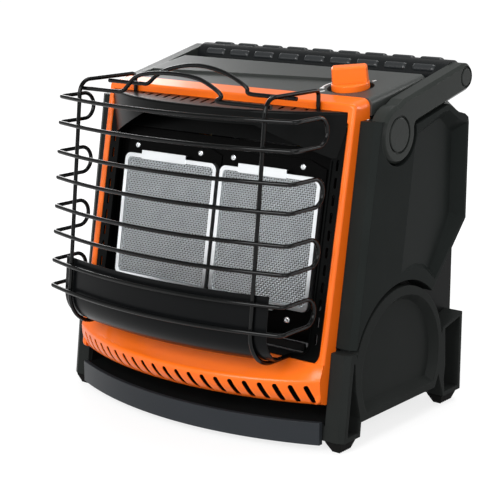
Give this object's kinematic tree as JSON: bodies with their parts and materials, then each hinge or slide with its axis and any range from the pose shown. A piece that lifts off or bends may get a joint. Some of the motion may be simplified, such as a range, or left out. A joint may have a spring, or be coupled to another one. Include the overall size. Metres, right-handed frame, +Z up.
{
  "type": "portable propane heater",
  "caption": "Portable radiant heater with side-by-side burners behind a wire guard, a sloping top with a push-and-turn knob, and a carrying handle that swings.",
  "frame": {"origin": "under the middle of the heater's bounding box, on the surface its feet stand on", "axes": "+Z up, front with the burners towards -Y, +X to the right as seen from the front"},
  "size_m": [0.4, 0.3453, 0.4009],
  "materials": {
    "base_plastic": "moulded satin",
    "crossbar_plastic": "moulded satin",
    "tray_steel": "powder coat",
    "foot_rubber": "matt",
    "cover_plastic": "moulded satin",
    "housing_steel": "powder coat",
    "top_panel": "moulded satin",
    "dial_white": "print",
    "orange_bezel": "gloss paint",
    "inner_black": "satin enamel",
    "hood_enamel": "gloss enamel",
    "flange_black": "satin enamel",
    "bright_steel": "bright",
    "screen_steel": "woven",
    "tile_ceramic": "matt",
    "plenum_steel": "plain",
    "screw_steel": "plated",
    "guard_wire": "gloss enamel",
    "guard_sheet": "satin enamel",
    "handle_plastic": "moulded satin",
    "pad_rubber": "matt",
    "cap_plastic": "moulded satin",
    "pin_steel": "plain",
    "knob_plastic": "moulded satin",
    "brass_parts": "turned",
    "pipe_alloy": "drawn",
    "regulator_alloy": "die cast",
    "switch_plastic": "moulded",
    "probe_ceramic": "glazed"
  },
  "bodies": {
    "frame": {"back_panel": "housing_steel", "base_side_left": "base_plastic", "base_side_right": "base_plastic", "base_tray": "tray_steel", "bay_walls": "tray_steel", "burner_flange_left": "flange_black", "burner_flange_right": "flange_black", "burner_pipe": "pipe_alloy", "burner_screws": "screw_steel", "cylinder_saddles": "tray_steel", "dial_marks": "dial_white", "feet": "foot_rubber", "firebox": "flange_black", "front_bezel": "orange_bezel", "front_crossbar": "crossbar_plastic", "guard_arches": "guard_wire", "guard_loops": "guard_wire", "guard_plate": "guard_sheet", "guard_uprights": "guard_wire", "heat_shield": "plenum_steel", "hood": "hood_enamel", "housing_side_left": "housing_steel", "housing_side_right": "housing_steel", "injectors": "brass_parts", "inlet_collars": "brass_parts", "inner_bezel": "inner_black", "lower_clips": "bright_steel", "mesh_screen_left": "screen_steel", "mesh_screen_right": "screen_steel", "pilot_burner": "plenum_steel", "pilot_probes": "probe_ceramic", "plenum_left": "plenum_steel", "plenum_right": "plenum_steel", "regulator_bridge": "tray_steel", "regulator_left": "regulator_alloy", "regulator_right": "regulator_alloy", "shelf": "inner_black", "side_cover_left": "cover_plastic", "side_cover_right": "cover_plastic", "supply_pipe": "pipe_alloy", "tile_left": "tile_ceramic", "tile_right": "tile_ceramic", "tip_switch": "switch_plastic", "top_cover": "top_panel", "upper_clips": "bright_steel", "valve_body": "brass_parts", "venturi_left": "plenum_steel", "venturi_right": "plenum_steel", "window_frame_left": "bright_steel", "window_frame_right": "bright_steel"},
    "handle": {"handle_arm_left": "handle_plastic", "handle_arm_right": "handle_plastic", "handle_grip": "handle_plastic", "grip_pads": "pad_rubber", "pivot_caps": "cap_plastic", "end_caps": "cap_plastic", "pivot_pins": "pin_steel"},
    "push": {"push_sleeve": "brass_parts"},
    "knob": {"knob": "knob_plastic", "valve_stem": "brass_parts"}
  },
  "joints": [
    {"name": "handle_swing", "type": "hinge", "parent": "frame", "child": "handle", "pos_m": [0, 0.01738, 0.331], "axis": [1, 0, 0], "range_deg": [0, 65]},
    {"name": "knob_push", "type": "slide", "parent": "frame", "child": "push", "axis": [0, 0.1564, -0.9877], "range_m": [0, 0.003], "stiffness_N_per_m": 600, "springref_m": -0.005},
    {"name": "knob_turn", "type": "hinge", "parent": "push", "child": "knob", "pos_m": [0.127, 0.03068, 0.37491], "axis": [0, -0.1564, 0.9877], "range_deg": [0, 150]}
  ]
}
